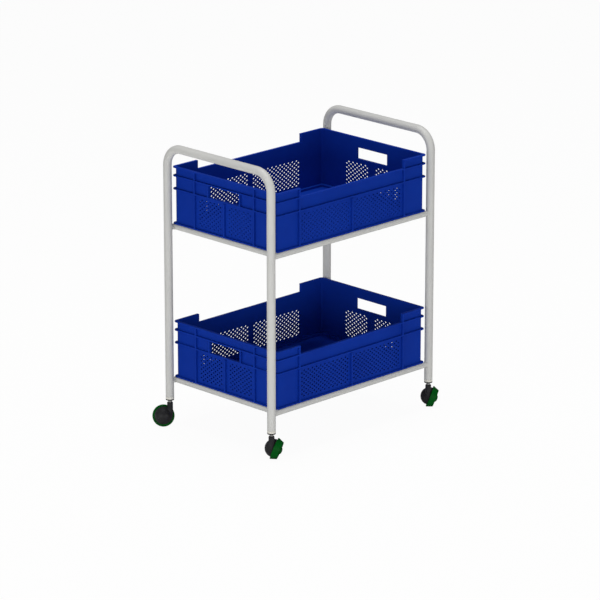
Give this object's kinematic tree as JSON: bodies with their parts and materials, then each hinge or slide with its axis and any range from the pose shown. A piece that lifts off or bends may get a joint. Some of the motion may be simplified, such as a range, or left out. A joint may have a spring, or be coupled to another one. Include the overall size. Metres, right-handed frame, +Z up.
{
  "type": "transport cart",
  "caption": "Bent-tube transport cart with upper and lower shelf rings, lift-out perforated plastic crates and swivel ball casters.",
  "frame": {"origin": "on the floor under the middle of the cart's outline as its casters stand", "axes": "+X along the crates' long sides, towards the right end frame; +Y towards the rear; +Z up"},
  "size_m": [0.7224, 0.4821, 0.84],
  "materials": {
    "frame": "pale grey powder coat on steel tube",
    "crate": "blue moulded polypropylene",
    "socket": "pale moulded plastic",
    "black_plastic": "black moulded plastic",
    "steel": "zinc-plated turned steel",
    "wheel": "green moulded plastic"
  },
  "bodies": {
    "frame": {"hoop_left": "frame", "hoop_right": "frame", "lower_front_rail": "frame", "lower_rear_rail": "frame", "lower_left_rail": "frame", "lower_right_rail": "frame", "upper_front_rail": "frame", "upper_rear_rail": "frame", "upper_left_rail": "frame", "upper_right_rail": "frame", "socket_left_front": "socket", "socket_washer_left_front": "black_plastic", "stem_left_front": "steel", "grip_ring_left_front": "steel", "socket_right_front": "socket", "socket_washer_right_front": "black_plastic", "stem_right_front": "steel", "grip_ring_right_front": "steel", "socket_left_rear": "socket", "socket_washer_left_rear": "black_plastic", "stem_left_rear": "steel", "grip_ring_left_rear": "steel", "socket_right_rear": "socket", "socket_washer_right_rear": "black_plastic", "stem_right_rear": "steel", "grip_ring_right_rear": "steel"},
    "lower_crate_body": {"lower_crate": "crate"},
    "upper_crate_body": {"upper_crate": "crate"},
    "swivel_left_front": {"caster_hood_left_front": "black_plastic", "axle_left_front": "steel", "axle_clip_left_front": "steel"},
    "swivel_right_front": {"caster_hood_right_front": "black_plastic", "axle_right_front": "steel", "axle_clip_right_front": "steel"},
    "swivel_left_rear": {"caster_hood_left_rear": "black_plastic", "axle_left_rear": "steel", "axle_clip_left_rear": "steel"},
    "swivel_right_rear": {"caster_hood_right_rear": "black_plastic", "axle_right_rear": "steel", "axle_clip_right_rear": "steel"},
    "roller_left_front": {"wheel_left_front": "wheel", "hub_cap_left_front": "wheel"},
    "roller_right_front": {"wheel_right_front": "wheel", "hub_cap_right_front": "wheel"},
    "roller_left_rear": {"wheel_left_rear": "wheel", "hub_cap_left_rear": "wheel"},
    "roller_right_rear": {"wheel_right_rear": "wheel", "hub_cap_right_rear": "wheel"}
  },
  "joints": [
    {"name": "lower_crate_lift", "type": "slide", "parent": "frame", "child": "lower_crate_body", "axis": [0, 0, 1], "range_m": [0, 0.25]},
    {"name": "upper_crate_lift", "type": "slide", "parent": "frame", "child": "upper_crate_body", "axis": [0, 0, 1], "range_m": [0, 0.4]},
    {"name": "left_front_swivel", "type": "hinge", "parent": "frame", "child": "swivel_left_front", "pos_m": [-0.323, -0.219, 0.062], "axis": [0, 0, 1], "continuous": true},
    {"name": "right_front_swivel", "type": "hinge", "parent": "frame", "child": "swivel_right_front", "pos_m": [0.313, -0.219, 0.062], "axis": [0, 0, 1], "continuous": true},
    {"name": "left_rear_swivel", "type": "hinge", "parent": "frame", "child": "swivel_left_rear", "pos_m": [-0.323, 0.195, 0.062], "axis": [0, 0, 1], "continuous": true},
    {"name": "right_rear_swivel", "type": "hinge", "parent": "frame", "child": "swivel_right_rear", "pos_m": [0.313, 0.195, 0.062], "axis": [0, 0, 1], "continuous": true},
    {"name": "left_front_roll", "type": "hinge", "parent": "swivel_left_front", "child": "roller_left_front", "pos_m": [-0.30527, -0.21142, 0.03035], "axis": [0.5101, -0.7856, -0.3502], "continuous": true},
    {"name": "right_front_roll", "type": "hinge", "parent": "swivel_right_front", "child": "roller_right_front", "pos_m": [0.32984, -0.20961, 0.03035], "axis": [0.5895, -0.7279, -0.3502], "continuous": true},
    {"name": "left_rear_roll", "type": "hinge", "parent": "swivel_left_rear", "child": "roller_left_rear", "pos_m": [-0.33491, 0.21017, 0.03035], "axis": [0.6268, 0.6961, -0.3502], "continuous": true},
    {"name": "right_rear_roll", "type": "hinge", "parent": "swivel_right_rear", "child": "roller_right_rear", "pos_m": [0.30064, 0.1802, 0.03035], "axis": [-0.8112, 0.4683, -0.3502], "continuous": true}
  ]
}
